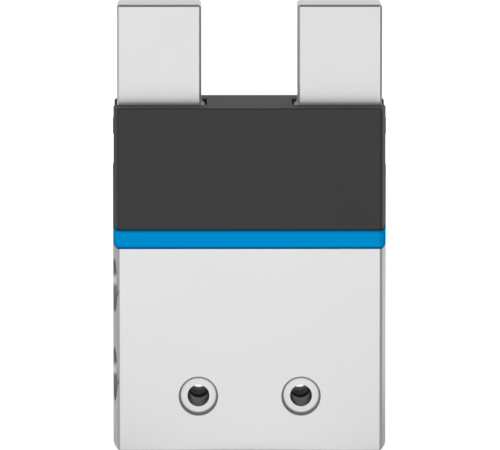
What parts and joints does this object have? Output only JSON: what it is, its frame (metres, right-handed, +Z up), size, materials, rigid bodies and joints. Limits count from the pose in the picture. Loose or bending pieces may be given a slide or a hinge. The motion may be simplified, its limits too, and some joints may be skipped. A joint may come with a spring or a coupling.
{
  "type": "parallel gripper",
  "caption": "Pneumatic parallel gripper with a barrel-sided body, blue band, dark guide cap and plain jaws that slide apart along a T-slot.",
  "frame": {"origin": "centre of the flat bottom face", "axes": "+Z up towards the jaws, X along the jaw travel with the air ports at -X, the front face at -Y"},
  "size_m": [0.075, 0.041, 0.1211],
  "materials": {
    "anodised_body": "clear anodised, satin",
    "blue_band": "bright blue, satin",
    "dark_anodised": "dark grey hard anodised, matt",
    "jaw_steel": "ground tool steel, satin",
    "hardened_steel": "hardened steel, fine milled",
    "ground_steel": "ground and polished",
    "bronze": "sintered bronze",
    "black_screw": "blackened steel",
    "zinc_steel": "zinc plated",
    "piston_aluminium": "turned aluminium",
    "seal_rubber": "black nitrile rubber",
    "bumper_rubber": "polyurethane",
    "magnet_compound": "plastic-bonded magnet",
    "wear_plastic": "filled PTFE strip",
    "wiper_plastic": "polyurethane wiper"
  },
  "bodies": {
    "gripper_body": {"housing": "anodised_body", "trim_band": "blue_band", "guide_cap": "dark_anodised", "lever_pins": "ground_steel", "pin_plugs": "black_screw", "lower_bumper": "bumper_rubber", "upper_bumper": "bumper_rubber", "rod_gland": "piston_aluminium", "rod_bush": "bronze", "rod_seal": "seal_rubber", "rod_wiper": "wiper_plastic", "gland_o_ring": "seal_rubber", "cap_screws": "zinc_steel", "cap_dowels": "ground_steel"},
    "piston_group": {"piston": "piston_aluminium", "piston_rod": "ground_steel", "crosshead": "hardened_steel", "crosshead_pin": "ground_steel", "piston_nut": "zinc_steel", "piston_seals": "seal_rubber", "magnet_ring": "magnet_compound", "wear_ring": "wear_plastic"},
    "left_jaw_slider": {"left_jaw": "jaw_steel"},
    "right_jaw_slider": {"right_jaw": "jaw_steel"},
    "left_lever_arm": {"left_lever": "hardened_steel", "left_lever_bush": "bronze"},
    "right_lever_arm": {"right_lever": "hardened_steel", "right_lever_bush": "bronze"}
  },
  "joints": [
    {"name": "piston_slide", "type": "slide", "parent": "gripper_body", "child": "piston_group", "axis": [0, 0, 1], "range_m": [0, 0.0087]},
    {"name": "left_jaw_slide", "type": "slide", "parent": "gripper_body", "child": "left_jaw_slider", "axis": [-1, 0, 0], "range_m": [0, 0.01001]},
    {"name": "right_jaw_slide", "type": "slide", "parent": "gripper_body", "child": "right_jaw_slider", "axis": [1, 0, 0], "range_m": [0, 0.01001]},
    {"name": "left_lever_turn", "type": "hinge", "parent": "gripper_body", "child": "left_lever_arm", "pos_m": [-0.018, 0, 0.07009], "axis": [0, -1, 0], "range_deg": [0, 51.59]},
    {"name": "right_lever_turn", "type": "hinge", "parent": "gripper_body", "child": "right_lever_arm", "pos_m": [0.018, 0, 0.07009], "axis": [0, 1, 0], "range_deg": [0, 51.59]}
  ],
  "couplings": [
    {"joint": "left_jaw_slide", "follows": "piston_slide", "ratio": 1.15},
    {"joint": "right_jaw_slide", "follows": "piston_slide", "ratio": 1.15},
    {"joint": "left_lever_turn", "follows": "piston_slide", "rad_per_m": 103.45},
    {"joint": "right_lever_turn", "follows": "piston_slide", "rad_per_m": 103.45}
  ]
}
